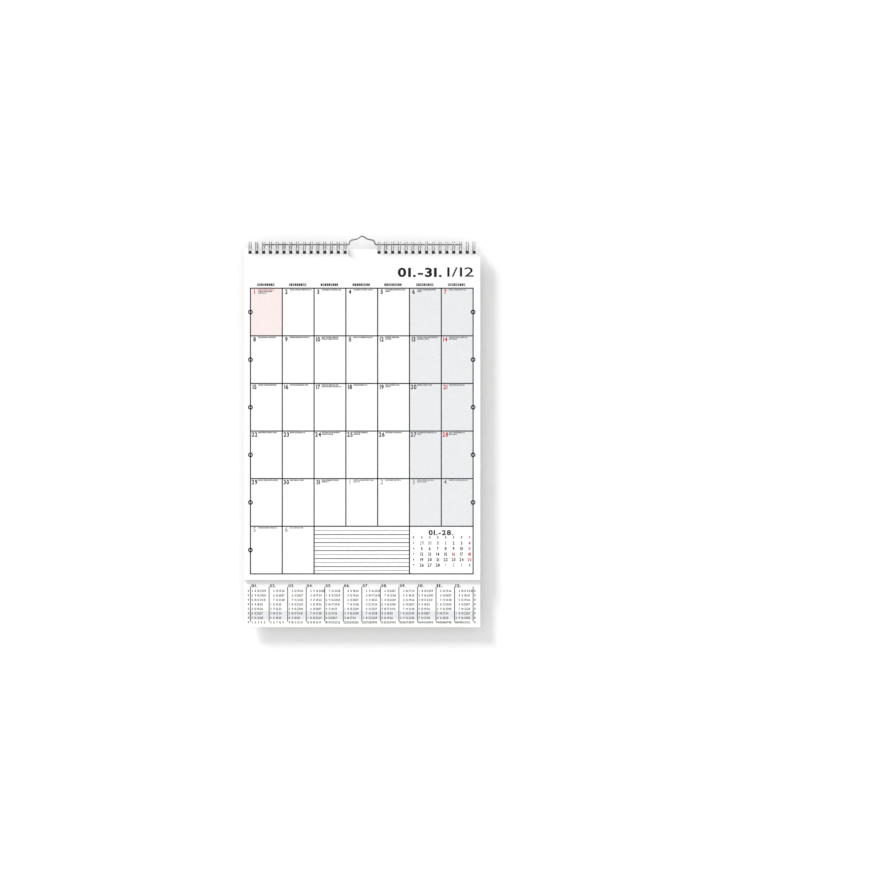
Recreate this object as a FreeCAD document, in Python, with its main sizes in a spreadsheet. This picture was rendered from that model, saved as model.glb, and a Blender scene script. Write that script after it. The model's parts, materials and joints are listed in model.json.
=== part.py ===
"""A wall calendar: month sheets and a longer backing card on two wire combs, with a wire hanger.

X runs to the reader's right, Y from the reader to the wall, and Z up. The origin is the point
of the nail under the hanger's peak. Lengths are in millimetres and angles in degrees.
"""
import FreeCAD, Part
import math
import os

import Sketcher

Vector = FreeCAD.Vector

SIZES = {
    # The printed pages, trimmed a little smaller than A3, whose free end curls to the reader.
    # The card behind them is trimmed to the same width.
    "sheet_width": 295,
    "sheet_height": 413,
    "sheet_thickness": 0.15,
    "sheet_count": 12,
    "curl_length": 120,
    "curl_radius": 7200,
    # The card behind them, which shows below them as a strip
    "card_height": 472,
    "card_thickness": 0.6,
    "paper_gap": 0.3,
    # The square holes along the top edge, and how far above the wire they hang
    "hole_size": 4,
    "hole_margin": 2.4,
    "hang_gap": 0.12,
    # The notch in the pages' top edge, which the hanger's bail passes through when they turn
    "notch_gap": 0.5,
    "notch_bend": 8,
    # The two combs: three loops to the inch, and the places between them with no loop
    "comb_loops": 15,
    "left_out_loops": 4,
    "comb_pitch": 8.467,
    "comb_wire": 0.9,
    "comb_radius": 5.9,
    "loop_width": 2.5,
    "loop_bend": 0.9,
    "seam_angle": 50,
    "seam_gap": 0.3,
    # The hanger: straight legs through the loops, and the raised bail between them
    "hanger_wire": 1.8,
    "hanger_span": 250,
    "leg_angle": 38,
    "leg_gap": 0.15,
    "bail_rise": 10.3,
    "peak_slope": 33.5,
    "peak_bend": 4,
    "waist_half": 6.3,
    "waist_bend": 5,
    "shoulder_half": 14.8,
    "shoulder_rise": 5.3,
    "shoulder_bend": 3.2,
    "foot_half": 16.5,
    "foot_bend": 1.6,
}

# The hanger's legs, and the loops' common axis in front of them and below
LEG_Z = "(Sizes.hanger_wire / 2 - Sizes.bail_rise)"
LOOP_INSIDE = "(Sizes.comb_radius - Sizes.comb_wire / 2)"
LEG_REACH = f"({LOOP_INSIDE} - Sizes.hanger_wire / 2 - Sizes.leg_gap)"
LEG_BEHIND_AXIS = f"({LEG_REACH} * cos(Sizes.leg_angle))"
LEG_ABOVE_AXIS = f"({LEG_REACH} * sin(Sizes.leg_angle))"
AXIS_Y = f"(-{LEG_BEHIND_AXIS})"
AXIS_Z = f"({LEG_Z} - {LEG_ABOVE_AXIS})"

# The pages and the card make one pack, centred on the loops' axis
PAGES = "(Sizes.sheet_count * Sizes.sheet_thickness)"
HALF_PACK = f"(({PAGES} + Sizes.paper_gap + Sizes.card_thickness) / 2)"

# Depths below the loops' axis: the holes' tops hang on the wire, with the pack's top edge above
HOLE_TOP = f"(sqrt({LOOP_INSIDE} ^ 2 - {HALF_PACK} ^ 2) - Sizes.hang_gap)"
TOP_EDGE = f"({HOLE_TOP} - Sizes.hole_margin)"

# The first loop of each comb, from the calendar's middle
LEFT_START = "(-(2 * Sizes.comb_loops + Sizes.left_out_loops - 1) / 2 * Sizes.comb_pitch)"
RIGHT_START = "((Sizes.left_out_loops + 1) / 2 * Sizes.comb_pitch)"

# The notch clears the bail's feet at its sides, and the bail's peak at its floor
NOTCH_HALF = "(Sizes.foot_half + Sizes.hanger_wire / 2)"
PEAK_TOP = f"({LEG_ABOVE_AXIS} + Sizes.bail_rise + Sizes.hanger_wire / 2)"
PEAK_BACK = f"({LEG_BEHIND_AXIS} + Sizes.hanger_wire / 2)"
NOTCH_FLOOR = f"(sqrt({PEAK_TOP} ^ 2 + {PEAK_BACK} ^ 2) + Sizes.notch_gap)"

# Which point of a line or an arc a sketch reference means
START, END, CENTRE = 1, 2, 3

document = FreeCAD.newDocument("wall_calendar")
sizes = document.addObject("Spreadsheet::Sheet", "Sizes")


def fill_sizes():
    """Give each driving size a cell of its own, with its name as the cell's alias."""
    for row, (name, number) in enumerate(SIZES.items(), start=1):
        sizes.set(f"A{row}", name)
        sizes.set(f"B{row}", str(number))
        sizes.setAlias(f"B{row}", name)
    document.recompute()


def value(text):
    """The number that an expression over the sheet's cells comes to."""
    return float(sizes.evalExpression(text))


def size(name):
    """One driving size, as the sheet holds it."""
    return value(f"Sizes.{name}")


def bind_place(piece, x, y, z):
    """Bind a piece's place to expressions over the sheet."""
    for axis, text in (("x", x), ("y", y), ("z", z)):
        piece.setExpression(f"Placement.Base.{axis}", text)


def new_body(name):
    """A body whose own origin lies on the loops' axis, in the calendar's middle."""
    body = document.addObject("PartDesign::Body", name)
    body.Label = name
    bind_place(body, "0", AXIS_Y, AXIS_Z)
    return body


def new_sketch(body, name, role, behind="0"):
    """A sketch on one of the body's origin planes, or a stated distance behind it."""
    sketch = body.newObject("Sketcher::SketchObject", name)
    plane = next(each for each in body.Origin.OriginFeatures if each.Role == role)
    sketch.AttachmentSupport = [(plane, "")]
    sketch.MapMode = "FlatFace"
    sketch.setExpression("AttachmentOffset.Base.z", f"-({behind})")
    return sketch


def dimension(sketch, name, kind, reference, text):
    """Add a named dimension that follows the sheet."""
    index = sketch.addConstraint(Sketcher.Constraint(kind, *reference, value(text)))
    sketch.renameConstraint(index, name)
    sketch.setExpression(f"Constraints.{name}", text)


def constrain(sketch, kind, *references):
    """Add one plain constraint for each reference."""
    for reference in references:
        sketch.addConstraint(Sketcher.Constraint(kind, *reference))


def draw_rectangle(sketch, name, left, bottom, width, height):
    """Draw a rectangle from its lower left corner, with its place and size bound to the sheet."""
    low = Vector(value(left), value(bottom), 0)
    across, up = Vector(value(width), 0, 0), Vector(0, value(height), 0)
    corners = [low, low + across, low + across + up, low + up]
    first = sketch.GeometryCount
    lower, right, upper, last = range(first, first + 4)
    for start, end in zip(corners, corners[1:] + corners[:1]):
        sketch.addGeometry(Part.LineSegment(start, end))
    constrain(sketch, "Coincident", (lower, END, right, START), (right, END, upper, START),
              (upper, END, last, START), (last, END, lower, START))
    constrain(sketch, "Horizontal", (lower,), (upper,))
    constrain(sketch, "Vertical", (right,), (last,))
    dimension(sketch, f"{name}_left", "DistanceX", (lower, START), left)
    dimension(sketch, f"{name}_bottom", "DistanceY", (lower, START), bottom)
    dimension(sketch, f"{name}_width", "DistanceX", (lower, START, lower, END), width)
    dimension(sketch, f"{name}_height", "DistanceY", (right, START, right, END), height)


def cut_through(body, sketch, name):
    """Cut a sketch through the whole of a body, to both sides of the sketch."""
    pocket = body.newObject("PartDesign::Pocket", name)
    pocket.Profile = sketch
    pocket.Type = "ThroughAll"
    pocket.SideType = "Symmetric"
    return pocket


def punch_holes(body):
    """Punch the first square hole of each comb, and repeat the two along the top edge."""
    sketch = new_sketch(body, f"{body.Name}_first_holes", "XZ_Plane")
    for name, start in (("left_comb", LEFT_START), ("right_comb", RIGHT_START)):
        draw_rectangle(sketch, name, f"{start} - Sizes.hole_size / 2",
                       f"-({HOLE_TOP} + Sizes.hole_size)", "Sizes.hole_size", "Sizes.hole_size")
    first_holes = cut_through(body, sketch, f"{body.Name}_first_cuts")
    rows = body.newObject("PartDesign::LinearPattern", f"{body.Name}_hole_rows")
    rows.Originals = [first_holes]
    rows.Direction = (sketch, ["H_Axis"])
    rows.setExpression("Length", "(Sizes.comb_loops - 1) * Sizes.comb_pitch")
    rows.setExpression("Occurrences", "Sizes.comb_loops")
    body.Tip = rows


def make_back_card():
    """The flat card behind the pages, punched along its top edge."""
    body = new_body("back_card")
    outline = new_sketch(body, "card_outline", "XZ_Plane", behind=HALF_PACK)
    draw_rectangle(outline, "card", "-Sizes.sheet_width / 2", f"-({TOP_EDGE} + Sizes.card_height)",
                   "Sizes.sheet_width", "Sizes.card_height")
    board = body.newObject("PartDesign::Pad", "card_board")
    board.Profile = outline
    board.setExpression("Length", "Sizes.card_thickness")
    punch_holes(body)
    return body


def draw_pages_profile(sketch):
    """Draw the pages from the side: straight down, then two arcs that curl to the reader."""
    front, thickness = -value(HALF_PACK), value(PAGES)
    top = -value(TOP_EDGE)
    bottom = top - size("sheet_height")
    bend = bottom + size("curl_length")
    radius = size("curl_radius")
    centre = Vector(front - radius, bend, 0)
    faces = []
    for reach in (radius, radius + thickness):
        turn = math.asin(size("curl_length") / reach)
        faces.append(Part.ArcOfCircle(Part.Circle(centre, Vector(0, 0, 1), reach), -turn, 0))
    near, far = (face.StartPoint for face in faces)
    back = front + thickness
    front_line, front_curl, lower, back_curl, back_line, upper = range(6)
    sketch.addGeometry([
        Part.LineSegment(Vector(front, top, 0), Vector(front, bend, 0)),
        faces[0],
        Part.LineSegment(near, far),
        faces[1],
        Part.LineSegment(Vector(back, bend, 0), Vector(back, top, 0)),
        Part.LineSegment(Vector(back, top, 0), Vector(front, top, 0)),
    ])
    constrain(sketch, "Coincident", (front_curl, START, lower, START),
              (lower, END, back_curl, START), (back_line, END, upper, START),
              (upper, END, front_line, START), (front_curl, CENTRE, back_curl, CENTRE))
    constrain(sketch, "Tangent", (front_line, END, front_curl, END),
              (back_curl, END, back_line, START))
    constrain(sketch, "Vertical", (front_line,), (back_line,))
    constrain(sketch, "Horizontal", (lower,), (upper,))
    dimension(sketch, "front", "DistanceX", (front_line, START), f"-{HALF_PACK}")
    dimension(sketch, "top", "DistanceY", (front_line, START), f"-{TOP_EDGE}")
    dimension(sketch, "thickness", "DistanceX", (upper, END, upper, START), PAGES)
    dimension(sketch, "height", "DistanceY", (front_curl, START, front_line, START),
              "Sizes.sheet_height")
    dimension(sketch, "curl_length", "DistanceY", (front_curl, START, front_curl, END),
              "Sizes.curl_length")
    dimension(sketch, "curl_radius", "Radius", (front_curl,), "Sizes.curl_radius")


def draw_notch(sketch):
    """Draw the notch: straight sides down from the pages' top edge, and a floor with round ends."""
    half, bend = value(NOTCH_HALF), size("notch_bend")
    top, floor = -value(TOP_EDGE), -value(NOTCH_FLOOR)
    ends = []
    for side, turn in ((-1, math.pi), (1, 1.5 * math.pi)):
        centre = Vector(side * (half - bend), floor + bend, 0)
        ends.append(Part.ArcOfCircle(Part.Circle(centre, Vector(0, 0, 1), bend),
                                     turn, turn + math.pi / 2))
    left, left_end, base, right_end, right, mouth = range(6)
    sketch.addGeometry([
        Part.LineSegment(Vector(-half, top, 0), Vector(-half, floor + bend, 0)),
        ends[0],
        Part.LineSegment(Vector(bend - half, floor, 0), Vector(half - bend, floor, 0)),
        ends[1],
        Part.LineSegment(Vector(half, floor + bend, 0), Vector(half, top, 0)),
        Part.LineSegment(Vector(half, top, 0), Vector(-half, top, 0)),
    ])
    constrain(sketch, "Tangent", (left, END, left_end, START), (left_end, END, base, START),
              (base, END, right_end, START), (right_end, END, right, START))
    constrain(sketch, "Coincident", (right, END, mouth, START), (mouth, END, left, START))
    constrain(sketch, "Vertical", (left,), (right,))
    constrain(sketch, "Horizontal", (base,), (mouth,))
    constrain(sketch, "Equal", (left_end, right_end))
    dimension(sketch, "left", "DistanceX", (left, START), f"-{NOTCH_HALF}")
    dimension(sketch, "right", "DistanceX", (right, END), NOTCH_HALF)
    dimension(sketch, "top", "DistanceY", (left, START), f"-{TOP_EDGE}")
    dimension(sketch, "floor", "DistanceY", (base, START), f"-{NOTCH_FLOOR}")
    dimension(sketch, "bend", "Radius", (left_end,), "Sizes.notch_bend")


def make_month_sheets():
    """The printed pages as one block, curled at the free end, notched and punched at the top."""
    body = new_body("month_sheets")
    profile = new_sketch(body, "pages_profile", "YZ_Plane")
    draw_pages_profile(profile)
    block = body.newObject("PartDesign::Pad", "pages_block")
    block.Profile = profile
    block.SideType = "Symmetric"
    block.setExpression("Length", "Sizes.sheet_width")
    notch = new_sketch(body, "notch_outline", "XZ_Plane")
    draw_notch(notch)
    cut_through(body, notch, "notch_cut")
    punch_holes(body)
    return body


def around_axis(x, angle, along=0.0):
    """A point on a loop: its angle runs from the bottom by the wall side and over to the front."""
    radius = size("comb_radius")
    turn = math.radians(angle)
    return Vector(x, radius * math.sin(turn) + along * math.cos(turn),
                  along * math.sin(turn) - radius * math.cos(turn))


def arc(start, middle, end):
    """The arc through three points, as an edge."""
    return Part.Arc(start, middle, end).toShape()


def line(start, end):
    """A straight edge."""
    return Part.LineSegment(start, end).toShape()


def loop_side(x, start, end):
    """One side of a loop, as two arcs about the loops' axis."""
    points = [around_axis(x, start + (end - start) * part / 4) for part in range(5)]
    return [arc(*points[:3]), arc(*points[2:])]


def tip_angle():
    """Where a loop's sides end, so that its round tip stops short of the seam by the seam's gap."""
    short = size("loop_bend") + size("loop_width") / 2 + size("comb_wire") + size("seam_gap")
    return 360 + size("seam_angle") - math.degrees(short / size("comb_radius"))


def comb_line():
    """The centre line of one comb, a single wire: out and back for each loop, then on to the next.

    The wire is cut half way between two loops, so each end keeps half a run of the seam.
    """
    half, bend = size("loop_width") / 2, size("loop_bend")
    seam, tip = size("seam_angle"), tip_angle()
    drop = bend * math.sqrt(0.5)
    inset = bend - drop
    half_run = size("comb_pitch") / 2
    edges = []
    seam_end = around_axis(-half_run, seam, -bend)
    for number in range(int(size("comb_loops"))):
        x = number * size("comb_pitch")
        left, right = x - half, x + half
        into, out = around_axis(left - bend, seam, -bend), around_axis(right + bend, seam, -bend)
        edges.append(line(seam_end, into))
        edges.append(arc(into, around_axis(left - inset, seam, -drop), around_axis(left, seam)))
        edges += loop_side(left, seam, tip)
        edges.append(arc(around_axis(left, tip), around_axis(x, tip, half), around_axis(right, tip)))
        edges += loop_side(right, tip, seam)
        edges.append(arc(around_axis(right, seam), around_axis(right + inset, seam, -drop), out))
        seam_end = out
    edges.append(line(seam_end, around_axis(x + half_run, seam, -bend)))
    return Part.Wire(edges)


def rounded_corner(before, corner, after, bend):
    """The arc of a stated radius that rounds a corner between two straight runs."""
    back, ahead = (before - corner).normalize(), (after - corner).normalize()
    half_turn = (math.pi - back.getAngle(ahead)) / 2
    reach = bend * math.tan(half_turn)
    inward = (back + ahead).normalize()
    depth = bend * (1 / math.cos(half_turn) - 1)
    return arc(corner + back * reach, corner + inward * depth, corner + ahead * reach)


def hanger_line():
    """The centre line of the hanger, a single wire, with its legs at height zero."""
    slope = math.radians(size("peak_slope"))
    peak = size("bail_rise") + size("peak_bend") * (1 / math.cos(slope) - 1)
    waist = peak - size("waist_half") * math.tan(slope)
    right = [
        (size("waist_half"), waist, size("waist_bend")),
        (size("shoulder_half"), size("shoulder_rise"), size("shoulder_bend")),
        (size("foot_half"), 0, size("foot_bend")),
    ]
    left = [(-x, z, bend) for x, z, bend in reversed(right)]
    corners = left + [(0, peak, size("peak_bend"))] + right
    end = Vector(size("hanger_span") / 2, 0, 0)
    points = [-end] + [Vector(x, 0, z) for x, z, bend in corners] + [end]
    bends = [rounded_corner(*points[number:number + 3], corner[2])
             for number, corner in enumerate(corners)]
    run_starts = [points[0]] + [bend.Vertexes[-1].Point for bend in bends]
    run_ends = [bend.Vertexes[0].Point for bend in bends] + [points[-1]]
    edges = [line(run_starts[0], run_ends[0])]
    for bend, start, end in zip(bends, run_starts[1:], run_ends[1:]):
        edges += [bend, line(start, end)]
    return Part.Wire(edges)


def make_wire(name, centre_line, thickness, place):
    """A round wire along a centre line that sets off along X, as a sweep with a bound thickness."""
    spine = document.addObject("Part::Feature", f"{name}_line")
    spine.Shape = centre_line
    section = document.addObject("Part::Circle", f"{name}_section")
    section.setExpression("Radius", f"{thickness} / 2")
    along_x = FreeCAD.Rotation(Vector(0, 0, 1), Vector(1, 0, 0))
    section.Placement = FreeCAD.Placement(centre_line.OrderedVertexes[0].Point, along_x)
    wire = document.addObject("Part::Sweep", name)
    wire.Label = name
    wire.Sections = [section]
    wire.Spine = (spine, [])
    wire.Solid = True
    bind_place(wire, *place)
    return wire


def make_combs():
    """The left and the right wire comb, alike but for their place."""
    return [make_wire(name, comb_line(), "Sizes.comb_wire", (start, AXIS_Y, AXIS_Z))
            for name, start in (("left_wire_comb", LEFT_START), ("right_wire_comb", RIGHT_START))]


def make_hanger():
    """The bent wire whose legs lie in the loops and whose bail hangs on the nail."""
    return make_wire("wire_hanger", hanger_line(), "Sizes.hanger_wire", ("0", "0", LEG_Z))


def check_document():
    """Stop if any object failed to build."""
    document.recompute()
    for each in document.Objects:
        failed = {"Invalid", "Error"} & set(each.State)
        if failed:
            raise RuntimeError(f"{each.Name} did not build: {failed}")


def check_piece(piece):
    """Stop unless the piece is one valid solid."""
    shape = piece.Shape
    if shape.isNull() or not shape.isValid() or len(shape.Solids) != 1:
        raise RuntimeError(f"{piece.Label} is not one valid solid")


def write_pieces(pieces):
    """Write each piece to its own file, named after its label."""
    os.makedirs("parts", exist_ok=True)
    for piece in pieces:
        piece.Shape.exportStep(f"parts/{piece.Label}.step")
        box = piece.Shape.BoundBox
        print(f"{piece.Label}: {piece.Shape.Volume:.1f} mm3,"
              f" x {box.XMin:.2f} to {box.XMax:.2f}, y {box.YMin:.2f} to {box.YMax:.2f},"
              f" z {box.ZMin:.2f} to {box.ZMax:.2f}")


fill_sizes()
calendar = [make_back_card(), make_month_sheets(), *make_combs(), make_hanger()]
check_document()
for part in calendar:
    check_piece(part)
write_pieces(calendar)
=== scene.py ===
"""The looks of a wall calendar: punched paper, printed tables, wire combs and a bent hanger.

The frame is in metres. X runs to the reader's right, Y from the reader to the wall, and Z up.
Print is laid out in millimetres on the sheet, to the right from its left edge and down from
its top edge, and turned into the frame's metres in one place.
"""

import json
import logging
import math
import random
from dataclasses import dataclass, field
from enum import Enum
from typing import Any

import bpy
from bpy.types import Material, Mesh, NodeSocket, Object
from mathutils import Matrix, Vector

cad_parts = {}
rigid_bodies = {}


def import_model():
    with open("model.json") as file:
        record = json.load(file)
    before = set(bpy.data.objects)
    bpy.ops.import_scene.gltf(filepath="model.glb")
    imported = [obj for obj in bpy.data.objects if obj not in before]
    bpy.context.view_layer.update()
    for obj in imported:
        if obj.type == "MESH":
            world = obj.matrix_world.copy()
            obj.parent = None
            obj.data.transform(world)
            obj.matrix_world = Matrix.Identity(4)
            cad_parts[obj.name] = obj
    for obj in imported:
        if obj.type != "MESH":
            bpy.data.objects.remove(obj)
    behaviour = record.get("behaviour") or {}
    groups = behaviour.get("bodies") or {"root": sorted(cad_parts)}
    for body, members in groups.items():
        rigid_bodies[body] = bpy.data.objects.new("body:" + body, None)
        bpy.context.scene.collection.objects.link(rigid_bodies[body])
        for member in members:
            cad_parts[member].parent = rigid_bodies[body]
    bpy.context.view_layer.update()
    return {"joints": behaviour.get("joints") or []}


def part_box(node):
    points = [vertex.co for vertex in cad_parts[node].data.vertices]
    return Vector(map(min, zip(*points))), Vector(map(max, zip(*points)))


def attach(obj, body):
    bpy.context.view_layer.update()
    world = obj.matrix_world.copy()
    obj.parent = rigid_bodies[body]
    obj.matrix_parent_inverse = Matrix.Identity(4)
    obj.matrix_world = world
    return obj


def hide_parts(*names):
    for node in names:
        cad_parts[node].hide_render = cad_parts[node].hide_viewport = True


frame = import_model()

log = logging.getLogger("calendar")

MM = 0.001
Colour = tuple[float, float, float]

# Points closer together than this are joined, where two parts of one mesh meet.
WELD = 0.01 * MM
# Rounded corners of paper and of wire are drawn with this many points.
PAPER_CORNER_POINTS = 8
WIRE_CORNER_POINTS = 10
# A face whose normal reaches this far to the reader belongs to a sheet's front.
FRONT_NORMAL = -0.5


class Ink(Enum):
    """The printing inks, by the record's material slot that each belongs to."""

    DARK = "dark_ink"
    RED = "red_ink"
    GREY = "grey_ink"
    TINT = "pale_tint"


class Weight(Enum):
    """How heavy a figure is drawn, as an outset of its outline in parts of its height."""

    BOLD = 0.034
    LIGHT = 0.004


class Side(Enum):
    """Which part of a line of figures its stated place means."""

    LEFT = 0.0
    MIDDLE = 0.5
    RIGHT = 1.0


class TreeBuilder:
    """One geometry node tree, put together a node at a time."""

    def __init__(self, name: str) -> None:
        """Start a tree that takes and gives geometry.

        Args:
            name: the tree's name.
        """
        self.group = bpy.data.node_groups.new(name, "GeometryNodeTree")
        for way in ("INPUT", "OUTPUT"):
            self.group.interface.new_socket("Geometry", in_out=way,
                                            socket_type="NodeSocketGeometry")
        self.start = self.group.nodes.new("NodeGroupInput")
        self.end = self.group.nodes.new("NodeGroupOutput")
        self.base = self.start.outputs["Geometry"]

    def take(self, name: str, kind: str = "Float") -> NodeSocket:
        """Add a named input to the tree.

        Args:
            name: the input's name.
            kind: the socket's kind, such as Float, Int or Material.

        Returns:
            The socket that gives the input's value inside the tree.
        """
        self.group.interface.new_socket(name, in_out="INPUT", socket_type=f"NodeSocket{kind}")
        return self.start.outputs[name]

    def add(self, kind: str, inputs: dict[Any, Any] | None = None, output: int | str = 0,
            **settings: Any) -> NodeSocket:
        """Add a node, set it up and wire its inputs.

        Args:
            kind: the node's type name.
            inputs: values, sockets or lists of sockets, by the input's name or number.
            output: which of the node's outputs to give back.
            **settings: the node's own properties.

        Returns:
            The chosen output socket.
        """
        node = self.group.nodes.new(kind)
        for name, setting in settings.items():
            setattr(node, name, setting)
        for place, given in (inputs or {}).items():
            socket = node.inputs[place]
            for each in given if isinstance(given, list) else [given]:
                if isinstance(each, NodeSocket):
                    self.group.links.new(each, socket)
                else:
                    socket.default_value = each
        return node.outputs[output]

    def math(self, operation: str, *values: Any) -> NodeSocket:
        """Add a math node and give its result.

        Args:
            operation: the math node's operation.
            *values: numbers or sockets, in the node's order.

        Returns:
            The result's socket.
        """
        return self.add("ShaderNodeMath", dict(enumerate(values)), operation=operation)

    def vector(self, x: Any = 0.0, y: Any = 0.0, z: Any = 0.0) -> NodeSocket:
        """Put three numbers or sockets together as one vector."""
        return self.add("ShaderNodeCombineXYZ", {"X": x, "Y": y, "Z": z})

    def attribute(self, name: str, data_type: str = "FLOAT") -> NodeSocket:
        """Read a named attribute of the geometry."""
        return self.add("GeometryNodeInputNamedAttribute", {"Name": name}, data_type=data_type)

    def join(self, *parts: NodeSocket) -> NodeSocket:
        """Join several geometries into one."""
        return self.add("GeometryNodeJoinGeometry", {"Geometry": list(reversed(parts))})

    def row(self, count: Any, first: NodeSocket, step: NodeSocket) -> NodeSocket:
        """Add a row of points, evenly spaced.

        Args:
            count: how many points.
            first: the first point's place.
            step: the way from each point to the next.

        Returns:
            The row's geometry.
        """
        return self.add("GeometryNodeMeshLine", {"Count": count, "Start Location": first,
                                                 "Offset": step}, mode="OFFSET")

    def curl(self, geometry: NodeSocket, share: Any) -> NodeSocket:
        """Bend what lies below the bend's height forward on an arc, as the free end curls.

        Args:
            geometry: the geometry to bend, in the frame's place.
            share: how much of the curl it takes, from 0 to 1.

        Returns:
            The bent geometry.
        """
        bend, radius = self.take("Bend Height"), self.take("Curl Radius")
        height = self.add("ShaderNodeSeparateXYZ", {0: self.add("GeometryNodeInputPosition")}, "Z")
        depth = self.math("MAXIMUM", self.math("SUBTRACT", bend, height), 0.0)
        square = self.math("SUBTRACT", self.math("MULTIPLY", radius, radius),
                           self.math("MULTIPLY", depth, depth))
        reach = self.math("SUBTRACT", self.math("SQRT", square), radius)
        offset = self.vector(y=self.math("MULTIPLY", reach, share))
        return self.add("GeometryNodeSetPosition", {"Geometry": geometry, "Offset": offset})

    def finish(self, geometry: NodeSocket) -> "TreeBuilder":
        """End the tree with real geometry that wears the given material.

        Args:
            geometry: the last geometry socket.

        Returns:
            The finished builder.
        """
        real = self.add("GeometryNodeRealizeInstances", {"Geometry": geometry})
        dressed = self.add("GeometryNodeSetMaterial",
                           {"Geometry": real, "Material": self.take("Material", "Material")})
        self.group.links.new(dressed, self.end.inputs["Geometry"])
        return self

    def grow(self, name: str, base: Mesh, values: dict[str, Any]) -> Object:
        """Run the tree over a mesh and keep the result as a plain mesh of its own.

        Args:
            name: the new piece's name.
            base: the mesh that the tree starts from, which is used up.
            values: the tree's inputs, by name.

        Returns:
            The new piece, with no modifier.
        """
        piece = bpy.data.objects.new(name, base)
        bpy.context.scene.collection.objects.link(piece)
        modifier = piece.modifiers.new("growth", "NODES")
        modifier.node_group = self.group
        for item in self.group.interface.items_tree:
            if item.name in values and item.in_out == "INPUT":
                modifier[item.identifier] = values[item.name]
        shaped = piece.evaluated_get(bpy.context.evaluated_depsgraph_get())
        grown = bpy.data.meshes.new_from_object(shaped)
        piece.modifiers.remove(modifier)
        piece.data = grown
        bpy.data.meshes.remove(base)
        grown.name = name
        material = next(each for each in grown.materials if each)
        grown.materials.clear()  # a fill leaves an empty slot before the material
        grown.materials.append(material)
        grown.polygons.foreach_set("material_index", [0] * len(grown.polygons))
        log.info("%s: %d faces", name, len(grown.polygons))
        return piece


def polyline(points: list[Vector], closed: bool = False, **attributes: list[float]) -> Mesh:
    """Make a mesh of points joined by edges, with a number stored for each point.

    Args:
        points: the points, in order.
        closed: whether the last point joins the first.
        **attributes: lists of numbers, one for each point.

    Returns:
        The mesh.
    """
    mesh = bpy.data.meshes.new("path")
    edges = [(number, number + 1) for number in range(len(points) - 1)]
    if closed:
        edges.append((len(points) - 1, 0))
    mesh.from_pydata(points, edges, [])
    for name, numbers in attributes.items():
        mesh.attributes.new(name, "FLOAT", "POINT").data.foreach_set("value", numbers)
    return mesh


class Shader:
    """A material's node tree, with short ways to add its nodes."""

    def __init__(self, name: str) -> None:
        """Start a material with one Principled shader.

        Args:
            name: the material's name.
        """
        self.material = bpy.data.materials.new(name)
        self.material.use_nodes = True
        self.nodes = self.material.node_tree.nodes
        self.links = self.material.node_tree.links
        self.surface = self.nodes["Principled BSDF"]

    def set(self, **numbers: Any) -> "Shader":
        """Set the Principled shader's own sockets.

        Args:
            **numbers: the values, by the sockets' names with _ in place of a space.

        Returns:
            The shader itself.
        """
        for name, number in numbers.items():
            self.surface.inputs[name.replace("_", " ")].default_value = number
        return self

    def noise(self, stretch: tuple[float, float, float], detail: float = 3.0) -> NodeSocket:
        """Add noise in the object's own metres.

        Args:
            stretch: how many swells there are in a metre along each axis.
            detail: the noise's detail.

        Returns:
            The noise's value, from 0 to 1.
        """
        place = self.nodes.new("ShaderNodeTexCoord")
        mapping = self.nodes.new("ShaderNodeMapping")
        mapping.inputs["Scale"].default_value = stretch
        noise = self.nodes.new("ShaderNodeTexNoise")
        noise.inputs["Scale"].default_value = 1.0
        noise.inputs["Detail"].default_value = detail
        self.links.new(place.outputs["Object"], mapping.inputs["Vector"])
        self.links.new(mapping.outputs["Vector"], noise.inputs["Vector"])
        return noise.outputs["Fac"]

    def tint(self, value: NodeSocket, low: Colour, high: Colour,
             spread: tuple[float, float] = (0.35, 0.65)) -> None:
        """Let a value pick the base colour between two.

        Args:
            value: the value, from 0 to 1.
            low: the colour at the low end.
            high: the colour at the high end.
            spread: the values where the two ends are reached.
        """
        ramp = self.nodes.new("ShaderNodeValToRGB")
        for element, place, colour in zip(ramp.color_ramp.elements, spread, (low, high)):
            element.position = place
            element.color = (*colour, 1.0)
        self.links.new(value, ramp.inputs["Fac"])
        self.links.new(ramp.outputs["Color"], self.surface.inputs["Base Color"])

    def roughen(self, value: NodeSocket, low: float, high: float) -> None:
        """Let a value pick the roughness between two.

        Args:
            value: the value, from 0 to 1.
            low: the roughness at 0.
            high: the roughness at 1.
        """
        spread = self.nodes.new("ShaderNodeMapRange")
        spread.inputs["To Min"].default_value = low
        spread.inputs["To Max"].default_value = high
        self.links.new(value, spread.inputs["Value"])
        self.links.new(spread.outputs["Result"], self.surface.inputs["Roughness"])

    def emboss(self, value: NodeSocket, depth: float, strength: float) -> None:
        """Let a value raise and lower the surface.

        Args:
            value: the value, from 0 to 1.
            depth: how far it raises the surface, in metres.
            strength: the bump's strength.
        """
        bump = self.nodes.new("ShaderNodeBump")
        bump.inputs["Distance"].default_value = depth
        bump.inputs["Strength"].default_value = strength
        self.links.new(value, bump.inputs["Height"])
        self.links.new(bump.outputs["Normal"], self.surface.inputs["Normal"])


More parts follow.
